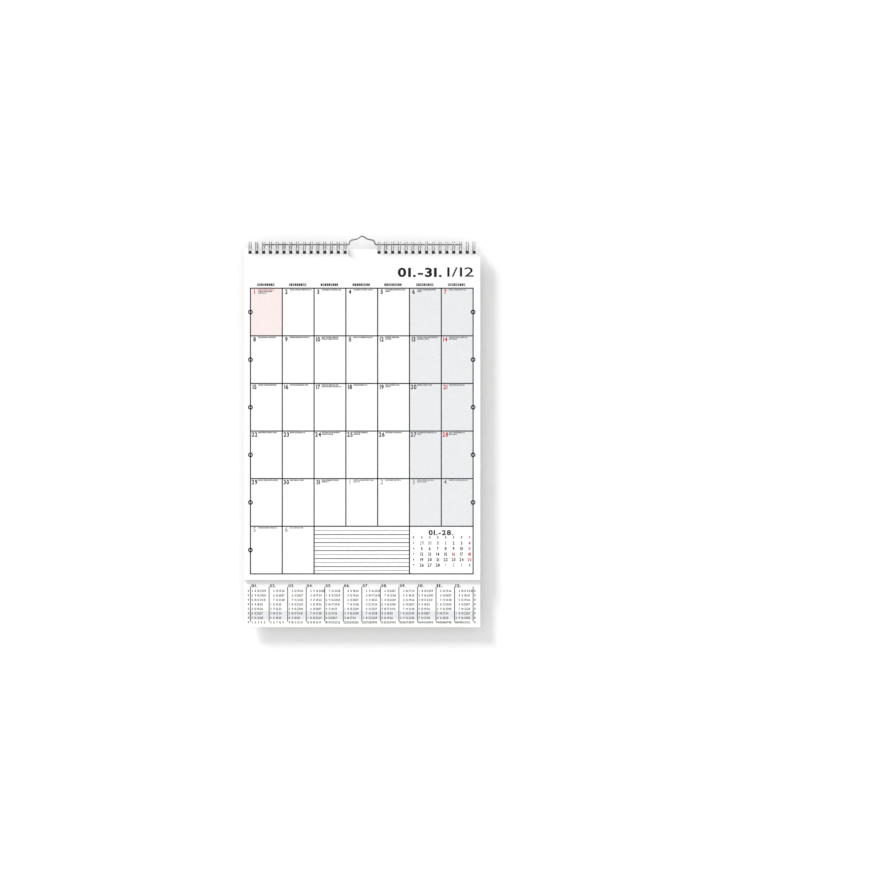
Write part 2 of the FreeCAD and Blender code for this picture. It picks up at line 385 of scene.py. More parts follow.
@dataclass(frozen=True)
class PaperFinish:
    """Smooth uncoated paper: nearly white, with a faint cloud and a fine tooth."""

    pale: Colour = (0.935, 0.935, 0.93)
    cloudy: Colour = (0.915, 0.915, 0.908)
    tooth: float = 2600.0
    cloud: float = 55.0
    shine: float = 0.2
    roughness: tuple[float, float] = (0.78, 0.92)
    depth: float = 0.02 * MM
    strength: float = 0.35

    def material(self) -> Material:
        """Make the paper's material.

        Returns:
            The material.
        """
        shader = Shader("page_paper").set(Specular_IOR_Level=self.shine)
        shader.tint(shader.noise((self.cloud,) * 3), self.cloudy, self.pale)
        fibre = shader.noise((self.tooth,) * 3, detail=2.0)
        shader.roughen(fibre, *self.roughness)
        shader.emboss(fibre, self.depth, self.strength)
        return shader.material


@dataclass(frozen=True)
class BoardFinish:
    """Backing board: a smooth white face, and a grey back and cut edge full of fibres."""

    white: Colour = (0.925, 0.925, 0.918)
    shade: Colour = (0.905, 0.905, 0.897)
    grey: Colour = (0.43, 0.42, 0.40)
    fibre_grey: Colour = (0.56, 0.55, 0.525)
    cloud: float = 40.0
    tooth: float = 1800.0
    fibres: tuple[float, float, float] = (1500.0, 1500.0, 420.0)
    face_shine: float = 0.25
    back_shine: float = 0.15
    face_roughness: tuple[float, float] = (0.62, 0.78)
    back_roughness: tuple[float, float] = (0.85, 0.97)
    face_depth: float = 0.02 * MM
    back_depth: float = 0.05 * MM

    def face(self) -> Material:
        """Make the white face's material.

        Returns:
            The material.
        """
        shader = Shader("backing_card_face").set(Specular_IOR_Level=self.face_shine)
        shader.tint(shader.noise((self.cloud,) * 3), self.shade, self.white)
        tooth = shader.noise((self.tooth,) * 3, detail=2.0)
        shader.roughen(tooth, *self.face_roughness)
        shader.emboss(tooth, self.face_depth, strength=0.25)
        return shader.material

    def back(self) -> Material:
        """Make the grey back's material.

        Returns:
            The material.
        """
        shader = Shader("backing_card_back").set(Specular_IOR_Level=self.back_shine)
        fibres = shader.noise(self.fibres, detail=5.0)
        shader.tint(fibres, self.grey, self.fibre_grey)
        shader.roughen(fibres, *self.back_roughness)
        shader.emboss(fibres, self.back_depth, strength=0.6)
        return shader.material


@dataclass(frozen=True)
class InkFinish:
    """Matt offset ink: one colour, a little uneven where the paper drinks it."""

    name: str
    colour: Colour
    uneven: float = 0.04
    grain: float = 900.0
    shine: float = 0.08
    roughness: tuple[float, float] = (0.7, 0.9)

    def material(self) -> Material:
        """Make the ink's material.

        Returns:
            The material.
        """
        shader = Shader(self.name).set(Specular_IOR_Level=self.shine)
        low = tuple(part * (1.0 - self.uneven) for part in self.colour)
        high = tuple(min(1.0, part * (1.0 + self.uneven / 2)) for part in self.colour)
        grain = shader.noise((self.grain,) * 3, detail=2.0)
        shader.tint(grain, low, high)
        shader.roughen(grain, *self.roughness)
        return shader.material


@dataclass(frozen=True)
class WireFinish:
    """Drawn wire: bright metal with darker drawn streaks."""

    name: str
    bright: Colour
    streaked: Colour
    roughness: tuple[float, float]
    swells: tuple[float, float, float]
    tooth: float = 4000.0
    depth: float = 0.01 * MM

    def material(self) -> Material:
        """Make the wire's material.

        Returns:
            The material.
        """
        shader = Shader(self.name).set(Metallic=1.0)
        streaks = shader.noise(self.swells, detail=4.0)
        shader.tint(streaks, self.streaked, self.bright)
        shader.roughen(streaks, *self.roughness)
        shader.emboss(shader.noise((self.tooth,) * 3, detail=1.0), self.depth, strength=0.2)
        return shader.material


@dataclass
class Binding:
    """Where the holes and loops stand, and how the paper curls: what the sub-assemblies share."""

    loops: int = 15
    left_out: int = 4
    pitch: float = 8.467 * MM
    hole: float = 4.0 * MM
    hole_margin: float = 2.4 * MM
    curl_length: float = 120 * MM
    curl_rows: int = 24

    def __post_init__(self) -> None:
        """Read the sheets' place and the amount of their curl from the frame."""
        self.low, self.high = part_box("month_sheets")
        self.top = self.high.z
        self.first = (self.left_out + 1) / 2 * self.pitch
        self.last = self.first + (self.loops - 1) * self.pitch
        joint = next(each for each in frame["joints"] if each["name"] == "pages_turn")
        self.axis = Vector(joint["pos_m"])
        _, card_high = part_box("back_card")
        self.front = 2 * self.axis.y - card_high.y
        drop = self.front - self.low.y
        self.curl_radius = (self.curl_length ** 2 + drop ** 2) / (2 * drop)
        self.bend = self.low.z + self.curl_length

    @property
    def width(self) -> float:
        """The sheets' width."""
        return self.high.x - self.low.x

    def curl_inputs(self) -> dict[str, float]:
        """Give the curl's inputs for a tree."""
        return {"Bend Height": self.bend, "Curl Radius": self.curl_radius}


def leaf_tree() -> TreeBuilder:
    """Build the tree of punched leaves.

    The outline of a leaf's upper part is filled with its holes left open, joined to a
    finely divided lower part, given its thickness, stood up, repeated and curled.

    Returns:
        The finished tree.
    """
    tree = TreeBuilder("punched_leaves")
    hole, pitch, count = tree.take("Hole"), tree.take("Pitch"), tree.take("Loops", "Int")
    level, step = tree.take("Hole Height"), tree.vector(pitch)
    outline = tree.add("GeometryNodeMeshToCurve", {"Mesh": tree.base})
    rounded = tree.add("GeometryNodeFilletCurve",
                       {"Curve": outline, "Count": PAPER_CORNER_POINTS,
                        "Radius": tree.attribute("corner_radius")}, mode="POLY")
    rows = tree.join(tree.row(count, tree.vector(tree.take("Left Start"), level), step),
                     tree.row(count, tree.vector(tree.take("Right Start"), level), step))
    square = tree.add("GeometryNodeCurvePrimitiveQuadrilateral", {"Width": hole, "Height": hole})
    holes = tree.add("GeometryNodeRealizeInstances", {"Geometry": tree.add(
        "GeometryNodeInstanceOnPoints", {"Points": rows, "Instance": square})})
    plan = tree.add("GeometryNodeFillCurve", {"Curve": tree.join(rounded, holes)})

    width, length = tree.take("Width"), tree.take("Lower Length")
    strip = tree.add("GeometryNodeMeshGrid", {"Size X": width, "Size Y": length, "Vertices X": 2,
                                              "Vertices Y": tree.take("Lower Rows", "Int")})
    middle = tree.math("SUBTRACT", tree.take("Lower Top"), tree.math("DIVIDE", length, 2.0))
    placed = tree.add("GeometryNodeTransform", {"Geometry": strip,
                                                "Translation": tree.vector(y=middle)})
    face = tree.add("GeometryNodeMergeByDistance", {"Geometry": tree.join(plan, placed),
                                                    "Distance": WELD})
    thickness = tree.take("Thickness")
    raised = tree.add("GeometryNodeExtrudeMesh", {"Mesh": face, "Offset Scale": thickness,
                                                  "Individual": False})
    shell = tree.join(raised, tree.add("GeometryNodeFlipFaces", {"Mesh": face}))
    leaf = tree.add("GeometryNodeMergeByDistance", {"Geometry": shell, "Distance": WELD})
    upright = tree.add("GeometryNodeTransform", {"Geometry": leaf,
                                                 "Rotation": (math.pi / 2, 0.0, 0.0)})

    index = tree.add("GeometryNodeInputIndex")
    stack = tree.row(tree.take("Leaves", "Int"),
                     tree.vector(y=tree.math("ADD", tree.take("Front"), thickness)),
                     tree.vector(y=tree.take("Leaf Pitch")))
    loose = tree.take("Loose Fit")
    behind = tree.math("MINIMUM", index, 1.0)
    shift = tree.math("MULTIPLY", tree.math("MULTIPLY", loose, behind), tree.add(
        "FunctionNodeRandomValue", {2: -1.0, 3: 1.0, "Seed": tree.take("Seed", "Int")}, 1))
    shifted = tree.add("GeometryNodeSetPosition", {"Geometry": stack,
                                                   "Offset": tree.vector(shift, 0.0, shift)})
    numbered = tree.add("GeometryNodeStoreNamedAttribute",
                        {"Geometry": shifted, "Name": "leaf", "Value": index})
    leaves = tree.add("GeometryNodeRealizeInstances", {"Geometry": tree.add(
        "GeometryNodeInstanceOnPoints", {"Points": numbered, "Instance": upright})})
    share = tree.math("SUBTRACT", tree.take("Curl Share"),
                      tree.math("MULTIPLY", tree.attribute("leaf"), tree.take("Curl Loss")))
    return tree.finish(tree.curl(leaves, share))


@dataclass
class PunchedStack:
    """A stack of alike punched leaves, from the front one back.

    The outline runs round the part above the curl, and the part below it is a plain strip.
    """

    name: str
    body: str
    node: str
    slot: str
    leaves: int
    leaf_pitch: float
    thickness: float
    notch_half: float = 0.0
    notch_depth: float = 0.0
    notch_bend: float = 8 * MM
    curl_share: float = 0.0
    curl_loss: float = 0.0
    loose_fit: float = 0.0
    seed: int = 3

    def outline(self, binding: Binding, lower_top: float) -> Mesh:
        """Draw the outline of a leaf's upper part, with its notch if it has one.

        Args:
            binding: the shared measures.
            lower_top: the height where the lower strip begins.

        Returns:
            The closed outline, with the radius of each corner.
        """
        half, top = binding.width / 2, binding.top
        corners = [(-half, lower_top, 0.0), (half, lower_top, 0.0), (half, top, 0.0)]
        if self.notch_depth:
            floor = top - self.notch_depth
            corners += [(self.notch_half, top, 0.0), (self.notch_half, floor, self.notch_bend),
                        (-self.notch_half, floor, self.notch_bend), (-self.notch_half, top, 0.0)]
        corners.append((-half, top, 0.0))
        return polyline([Vector((x, y, 0.0)) for x, y, bend in corners], closed=True,
                        corner_radius=[bend for x, y, bend in corners])

    def build(self, tree: TreeBuilder, binding: Binding, paper: Material) -> Object:
        """Build the stack in place of its solid.

        Args:
            tree: the tree of punched leaves.
            binding: the shared measures.
            paper: the material of all its faces.

        Returns:
            The stack.
        """
        low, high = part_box(self.node)
        lower_top = low.z + binding.curl_length
        front = high.y - self.leaf_pitch * (self.leaves - 1) - self.thickness
        hole_height = binding.top - binding.hole_margin - binding.hole / 2
        piece = tree.grow(self.name, self.outline(binding, lower_top), {
            "Hole": binding.hole, "Pitch": binding.pitch, "Loops": binding.loops,
            "Hole Height": hole_height, "Left Start": -binding.last,
            "Right Start": binding.first, "Width": binding.width,
            "Lower Length": binding.curl_length, "Lower Rows": binding.curl_rows + 1,
            "Lower Top": lower_top, "Thickness": self.thickness, "Leaves": self.leaves,
            "Front": front, "Leaf Pitch": self.leaf_pitch, "Loose Fit": self.loose_fit,
            "Seed": self.seed, "Curl Share": self.curl_share, "Curl Loss": self.curl_loss,
            "Material": paper, **binding.curl_inputs(),
        })
        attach(piece, self.body)
        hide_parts(self.node)
        return piece


def back_with_board(card: Object, board: Material) -> None:
    """Give the card's back and cut edges the grey board, and leave its face white.

    Args:
        card: the card.
        board: the material of bare board.
    """
    card.data.materials.append(board)
    for polygon in card.data.polygons:
        polygon.material_index = 0 if polygon.normal.y < FRONT_NORMAL else 1


def comb_tree() -> TreeBuilder:
    """Build the tree of a wire comb: one loop's path, repeated, joined end to end and thickened.

    Returns:
        The finished tree.
    """
    tree = TreeBuilder("wire_comb")
    line = tree.row(tree.take("Loops", "Int"),
                    tree.vector(tree.take("First Loop"), tree.take("Axis Y"), tree.take("Axis Z")),
                    tree.vector(tree.take("Pitch")))
    lean = tree.math("MULTIPLY", tree.take("Lean"), tree.add(
        "FunctionNodeRandomValue", {2: -1.0, 3: 1.0, "Seed": tree.take("Seed", "Int")}, 1))
    leaning = tree.add("GeometryNodeStoreNamedAttribute",
                       {"Geometry": line, "Name": "lean", "Value": lean})
    loops = tree.add("GeometryNodeRealizeInstances", {"Geometry": tree.add(
        "GeometryNodeInstanceOnPoints", {"Points": leaning, "Instance": tree.base})})
    sideways = tree.math("MULTIPLY", tree.attribute("lean"), tree.attribute("rise"))
    leaned = tree.add("GeometryNodeSetPosition", {"Geometry": loops,
                                                  "Offset": tree.vector(sideways)})
    wire = tree.add("GeometryNodeMergeByDistance", {"Geometry": leaned, "Distance": 2 * WELD})
    return tree.finish(thick_wire(tree, wire))


def thick_wire(tree: TreeBuilder, line: NodeSocket, bends: NodeSocket | None = None) -> NodeSocket:
    """Add the nodes that turn a line into a round wire with closed ends.

    Args:
        tree: the tree to add to.
        line: the mesh line.
        bends: the radius that rounds each corner, if they are to be rounded.

    Returns:
        The wire's smooth mesh.
    """
    path = tree.add("GeometryNodeMeshToCurve", {"Mesh": line})
    if bends:
        path = tree.add("GeometryNodeFilletCurve", {"Curve": path, "Count": WIRE_CORNER_POINTS,
                                                    "Radius": bends}, mode="POLY")
    section = tree.add("GeometryNodeCurvePrimitiveCircle",
                       {"Resolution": tree.take("Sides", "Int"), "Radius": tree.take("Radius")})
    wire = tree.add("GeometryNodeCurveToMesh", {"Curve": path, "Profile Curve": section,
                                                "Fill Caps": True})
    return tree.add("GeometryNodeSetShadeSmooth", {"Geometry": wire})


@dataclass
class WireComb:
    """One comb: a single wire bent out and back for each loop, and along the seam between them.

    A loop's angle runs from its bottom by the wall side and over to the front.
    """

    node: str
    seed: int
    radius: float = 5.9 * MM
    wire: float = 0.9 * MM
    loop_width: float = 2.5 * MM
    loop_bend: float = 0.9 * MM
    seam_angle: float = 50.0
    seam_gap: float = 0.3 * MM
    lean: float = 0.25 * MM
    arc_steps: int = 30
    bend_steps: int = 5
    sides: int = 12

    def around(self, x: float, angle: float, along: float = 0.0) -> Vector:
        """Find a point on a loop, or a stretch along the loop's circle from it.

        Args:
            x: the point's place along the comb.
            angle: the angle in degrees.
            along: how far ahead of that angle, straight on.

        Returns:
            The point, seen from the loops' axis.
        """
        turn = math.radians(angle)
        return Vector((x, self.radius * math.sin(turn) + along * math.cos(turn),
                       along * math.sin(turn) - self.radius * math.cos(turn)))

    def path(self, pitch: float) -> Mesh:
        """Draw one loop's path, from half a run before it to half a run behind.

        Args:
            pitch: the way from loop to loop.

        Returns:
            The path, and how far each of its points follows the loop's lean.
        """
        half, bend = self.loop_width / 2, self.loop_bend
        short = bend + half + self.wire + self.seam_gap
        tip = 360 + self.seam_angle - math.degrees(short / self.radius)
        points = [self.around(-pitch / 2, self.seam_angle, -bend)]
        for step in range(self.bend_steps + 1):
            turn = math.pi / 2 * step / self.bend_steps
            points.append(self.around(-half - bend + bend * math.sin(turn), self.seam_angle,
                                      -bend * math.cos(turn)))
        for step in range(1, self.arc_steps + 1):
            angle = self.seam_angle + (tip - self.seam_angle) * step / self.arc_steps
            points.append(self.around(-half, angle))
        for step in range(1, self.bend_steps + 1):
            turn = math.pi / 2 * step / self.bend_steps
            points.append(self.around(-half * math.cos(turn), tip, half * math.sin(turn)))
        points += [Vector((-point.x, point.y, point.z)) for point in reversed(points[:-1])]
        tilt = math.radians(self.seam_angle)
        rise = [(1 - math.cos(math.atan2(point.y, -point.z) - tilt)) / 2 for point in points]
        rise[0] = rise[-1] = 0.0
        return polyline(points, rise=rise)

    def build(self, tree: TreeBuilder, binding: Binding, metal: Material) -> Object:
        """Build the comb in place of its solid.

        Args:
            tree: the tree of a wire comb.
            binding: the shared measures.
            metal: the wire's material.

        Returns:
            The comb.
        """
        low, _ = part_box(self.node)
        first = low.x + binding.pitch / 2
        piece = tree.grow(self.node + "_bright", self.path(binding.pitch), {
            "Loops": binding.loops, "Pitch": binding.pitch, "First Loop": first,
            "Axis Y": binding.axis.y, "Axis Z": binding.axis.z, "Lean": self.lean,
            "Seed": self.seed, "Sides": self.sides, "Radius": self.wire / 2, "Material": metal,
        })
        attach(piece, "backing")
        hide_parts(self.node)
        return piece


@dataclass
class WireHanger:
    """The hanger: straight legs in the loops, and between them the bail that hangs on a nail."""

    wire: float = 1.8 * MM
    bail_rise: float = 10.3 * MM
    peak_slope: float = 33.5
    peak_bend: float = 4 * MM
    waist_half: float = 6.3 * MM
    waist_bend: float = 5 * MM
    shoulder_half: float = 14.8 * MM
    shoulder_rise: float = 5.3 * MM
    shoulder_bend: float = 3.2 * MM
    foot_half: float = 16.5 * MM
    foot_bend: float = 1.6 * MM
    sides: int = 20

    def path(self) -> Mesh:
        """Draw the hanger's corners, with the radius that rounds each.

        Returns:
            The line of corners.
        """
        _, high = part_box("wire_hanger")
        legs = self.wire / 2 - self.bail_rise
        slope = math.radians(self.peak_slope)
        peak = self.bail_rise + self.peak_bend * (1 / math.cos(slope) - 1)
        waist = peak - self.waist_half * math.tan(slope)
        right = [(self.waist_half, waist, self.waist_bend),
                 (self.shoulder_half, self.shoulder_rise, self.shoulder_bend),
                 (self.foot_half, 0.0, self.foot_bend), (high.x, 0.0, 0.0)]
        left = [(-x, z, bend) for x, z, bend in reversed(right)]
        corners = left + [(0.0, peak, self.peak_bend)] + right
        return polyline([Vector((x, 0.0, z + legs)) for x, z, bend in corners],
                        corner_radius=[bend for x, z, bend in corners])

    def build(self, metal: Material) -> Object:
        """Build the hanger in place of its solid.

        Args:
            metal: the wire's material.

        Returns:
            The hanger.
        """
        tree = TreeBuilder("hanger_wire")
        tree.finish(thick_wire(tree, tree.base, tree.attribute("corner_radius")))
        piece = tree.grow("wire_hanger_drawn", self.path(),
                          {"Sides": self.sides, "Radius": self.wire / 2, "Material": metal})
        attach(piece, "hanger")
        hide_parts("wire_hanger")
        return piece


FIGURES = "0123456789.-/"
BLOCK, FRAME, RING = len(FIGURES), len(FIGURES) + 1, len(FIGURES) + 2
MARKS_PER_WEIGHT = len(FIGURES) + 3
SQUARE = [(0, 0), (1, 0), (1, 1), (0, 1)]
CIRCLE_CORNERS = 32
FRAME_BAND = 0.3
RING_BAND = 0.24
# The free space between two figures, in parts of their height.
FIGURE_GAP = 0.12


class Typeface:
    """The printed marks as flat meshes one unit tall: plain figures, a block, a frame, a ring."""

    def __init__(self, squeeze: float = 0.84) -> None:
        """Make the marks of both weights.

        Args:
            squeeze: how wide a figure is, as a share of its natural width.
        """
        self.collection = bpy.data.collections.new("typeface")
        bpy.context.scene.collection.children.link(self.collection)
        self.widths: dict[tuple[Weight, int], float] = {}
        for weight in Weight:
            measure = self.outline("0", weight)
            scale = 1.0 / measure.dimensions.y
            bpy.data.objects.remove(measure)
            for number, figure in enumerate(FIGURES):
                piece = self.outline(figure, weight)
                xs = [vertex.co.x for vertex in piece.data.vertices]
                for vertex in piece.data.vertices:
                    vertex.co.x = (vertex.co.x - min(xs)) * scale * squeeze
                    vertex.co.y *= scale
                self.keep(piece, weight, number, (max(xs) - min(xs)) * scale * squeeze)
            self.keep(self.ring_of(SQUARE, 0.0), weight, BLOCK, 1.0)
            self.keep(self.ring_of(SQUARE, FRAME_BAND), weight, FRAME, 1.0)
            turns = [2 * math.pi * corner / CIRCLE_CORNERS for corner in range(CIRCLE_CORNERS)]
            circle = [(0.5 + 0.5 * math.cos(turn), 0.5 + 0.5 * math.sin(turn)) for turn in turns]
            self.keep(self.ring_of(circle, RING_BAND), weight, RING, 1.0)

    def outline(self, figure: str, weight: Weight) -> Object:
        """Draw one figure as a flat mesh.

        Args:
            figure: the figure.
            weight: how heavy it is.

        Returns:
            The figure, in the typeface's collection.
        """
        text = bpy.data.curves.new("figure", "FONT")
        text.body, text.offset, text.resolution_u = figure, weight.value, 3
        drawn = bpy.data.objects.new("figure", text)
        self.collection.objects.link(drawn)
        shaped = drawn.evaluated_get(bpy.context.evaluated_depsgraph_get())
        mesh = bpy.data.meshes.new_from_object(shaped)
        bpy.data.objects.remove(drawn)
        bpy.data.curves.remove(text)
        piece = bpy.data.objects.new("figure", mesh)
        self.collection.objects.link(piece)
        bpy.context.view_layer.update()
        return piece

    def ring_of(self, outside: list[tuple[float, float]], stroke: float) -> Object:
        """Make a flat shape inside the unit square, solid or with its middle left open.

        Args:
            outside: the corners round the outside.
            stroke: how wide the band is, or 0 for a solid shape.

        Returns:
            The shape.
        """
        mesh, count = bpy.data.meshes.new("figure"), len(outside)
        points = [(x, y, 0.0) for x, y in outside]
        faces = [tuple(range(count))]
        if stroke:
            shrink = 1.0 - 2 * stroke
            points += [(0.5 + (x - 0.5) * shrink, 0.5 + (y - 0.5) * shrink, 0.0)
                       for x, y in outside]
            faces = [(one, (one + 1) % count, (one + 1) % count + count, one + count)
                     for one in range(count)]
        mesh.from_pydata(points, [], faces)
        piece = bpy.data.objects.new("figure", mesh)
        self.collection.objects.link(piece)
        return piece

    def keep(self, piece: Object, weight: Weight, number: int, width: float) -> None:
        """Name a mark by its place in the order, facing up, and note its width.

        Args:
            piece: the mark.
            weight: its weight.
            number: its number within the weight.
            width: how wide it is, in parts of its height.
        """
        index = list(Weight).index(weight) * MARKS_PER_WEIGHT + number
        if piece.data.polygons[0].normal.z < 0:
            piece.data.flip_normals()
        piece.name = f"mark_{index:03d}"
        self.widths[weight, number] = width

    def discard(self) -> None:
        """Remove the marks' own meshes once all the print is made."""
        for piece in list(self.collection.objects):
            bpy.data.objects.remove(piece)
        bpy.data.collections.remove(self.collection)


def print_tree() -> TreeBuilder:
    """Build the tree that sets marks on a curled sheet.

    Returns:
        The finished tree.
    """
    tree = TreeBuilder("print")
    marks = tree.add("GeometryNodeCollectionInfo",
                     {"Collection": tree.take("Marks", "Collection"),
                      "Separate Children": True, "Reset Children": True})
    placed = tree.add("GeometryNodeInstanceOnPoints", {
        "Points": tree.base, "Instance": marks, "Pick Instance": True,
        "Instance Index": tree.attribute("mark", "INT"),
        "Rotation": tree.vector(math.pi / 2),
        "Scale": tree.attribute("extent", "FLOAT_VECTOR")})
    real = tree.add("GeometryNodeRealizeInstances", {"Geometry": placed})
    return tree.finish(tree.curl(real, tree.take("Curl Share")))


@dataclass
class Print:
    """The marks of one ink on one sheet, gathered before they are made."""

    name: str
    body: str
    ink: Ink
    face: float
    share: float
    typeface: Typeface
    binding: Binding
    tallest: float = 20.0
    letter: tuple[float, float] = (0.45, 0.85)
    letter_gap: float = 0.22
    word_gap: float = 0.6
    shortest_word: int = 3
    word_end: float = 0.25
    places: list[Vector] = field(default_factory=list)
    marks: list[int] = field(default_factory=list)
    extents: list[tuple[float, float, float]] = field(default_factory=list)

    def mark(self, number: int, u: float, v: float, width: float, height: float,
             weight: Weight = Weight.BOLD) -> None:
        """Add one mark by its lower left corner and its size, in millimetres on the sheet.

        Args:
            number: which mark.
            u: the corner's place from the sheet's left edge.
            v: the corner's place down the sheet.
            width: the width of one unit of the mark.
            height: the height of one unit of the mark.
            weight: how heavy the mark is.
        """
        x = u * MM - self.binding.width / 2
        self.places.append(Vector((x, self.face, self.binding.top - v * MM)))
        self.marks.append(list(Weight).index(weight) * MARKS_PER_WEIGHT + number)
        self.extents.append((width * MM, height * MM, 1.0))

    def block(self, left: float, top: float, right: float, bottom: float) -> None:
        """Add a solid rectangle, in pieces short enough to follow the curl.

        Args:
            left: its left side's place.
            top: its upper side's place, down the sheet.
            right: its right side's place.
            bottom: its lower side's place, down the sheet.
        """
        count = max(1, math.ceil((bottom - top) / self.tallest))
        step = (bottom - top) / count
        for number in range(count):
            self.mark(BLOCK, left, top + (number + 1) * step, right - left, step)

    def line(self, u0: float, v0: float, u1: float, v1: float, thick: float) -> None:
        """Add a level or upright line of a stated thickness, with square ends past its points."""
        half = thick / 2
        self.block(u0 - half, v0 - half, u1 + half, v1 + half)

    def write(self, figures: str, u: float, middle: float, height: float, side: Side,
              weight: Weight = Weight.BOLD, width: float | None = None) -> None:
        """Add a line of figures.

        Args:
            figures: the figures.
            u: the place that the side refers to.
            middle: the place of the figures' middle, down the sheet.
            height: the figures' height.
            side: which part of the line stands at the place.
            weight: how heavy the figures are.
            width: the whole line's width, if it is to be stretched to one.
        """
        numbers = [FIGURES.index(figure) for figure in figures]
        widths = [self.typeface.widths[weight, number] for number in numbers]
        natural = (sum(widths) + FIGURE_GAP * (len(widths) - 1)) * height
        stretch = width / natural if width else 1.0
        at = u - side.value * natural * stretch
        for number, own in zip(numbers, widths):
            self.mark(number, at, middle + height / 2, height * stretch, height, weight)
            at += (own + FIGURE_GAP) * height * stretch

    def small_print(self, dice: random.Random, u: float, top: float, width: float,
                    height: float) -> None:
        """Add a line of unreadable small print, as blocks and frames in words.

        Args:
            dice: where chance comes from.
            u: the place of the line's start.
            top: the place of its upper side, down the sheet.
            width: how far it runs.
            height: how tall its letters are.
        """
        end, word = u + width, 0
        while u < end:
            letter = height * dice.uniform(*self.letter)
            self.mark(dice.choice((BLOCK, FRAME, FRAME)), u, top + height, letter, height)
            word += 1
            space = word > self.shortest_word and dice.random() < self.word_end
            word = 0 if space else word
            u += letter + height * (self.word_gap if space else self.letter_gap)

    def build(self, tree: TreeBuilder, material: Material) -> Object:
        """Turn the gathered marks into one piece.

        Args:
            tree: the tree that sets the marks.
            material: the ink's material.

        Returns:
            The printed piece.
        """
        mesh = bpy.data.meshes.new("marks")
        mesh.from_pydata(self.places, [], [])
        mesh.attributes.new("mark", "INT", "POINT").data.foreach_set("value", self.marks)
        extents = [part for extent in self.extents for part in extent]
        mesh.attributes.new("extent", "FLOAT_VECTOR", "POINT").data.foreach_set("vector", extents)
        piece = tree.grow(self.name, mesh, {
            "Marks": self.typeface.collection, "Curl Share": self.share, "Material": material,
            **self.binding.curl_inputs()})
        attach(piece, self.body)
        return piece


# Ink stands this far off the paper, and a tint less, so that ink shows on top of it.
INK_LIFT = 0.04 * MM
TINT_LIFT = 0.02 * MM

INK_COLOURS: dict[str, tuple[Ink, Colour]] = {
    "dark": (Ink.DARK, (0.012, 0.018, 0.021)),
    "red": (Ink.RED, (0.52, 0.03, 0.055)),
    "grey": (Ink.GREY, (0.14, 0.15, 0.16)),
    "tint": (Ink.TINT, (0.765, 0.775, 0.79)),
    "holiday": (Ink.TINT, (0.88, 0.78, 0.77)),
}


class PrintedSheet:
    """One printed face, with a gathering of marks for each ink that is used on it."""

    def __init__(self, name: str, body: str, face: float, share: float, typeface: Typeface,
                 binding: Binding, inks: tuple[str, ...]) -> None:
        """Start the face with no marks.

        Args:
            name: the first part of its pieces' names.
            body: the body that the print rides on.
            face: the paper's front, in metres.
            share: how much of the curl the sheet takes.
            typeface: the marks.
            binding: the shared measures.
            inks: the names of the inks used.
        """
        self.inks: dict[str, Print] = {}
        for ink in inks:
            lift = TINT_LIFT if INK_COLOURS[ink][0] is Ink.TINT else INK_LIFT
            self.inks[ink] = Print(f"{name}_{ink}_print", body, INK_COLOURS[ink][0], face - lift,
                                   share, typeface, binding)

    def build(self, tree: TreeBuilder, materials: dict[str, Material]) -> None:
        """Make one piece of print for each ink.

        Args:
            tree: the tree that sets marks.
            materials: the inks' materials, by the inks' names.
        """
        for ink, gathered in self.inks.items():
            gathered.build(tree, materials[ink])


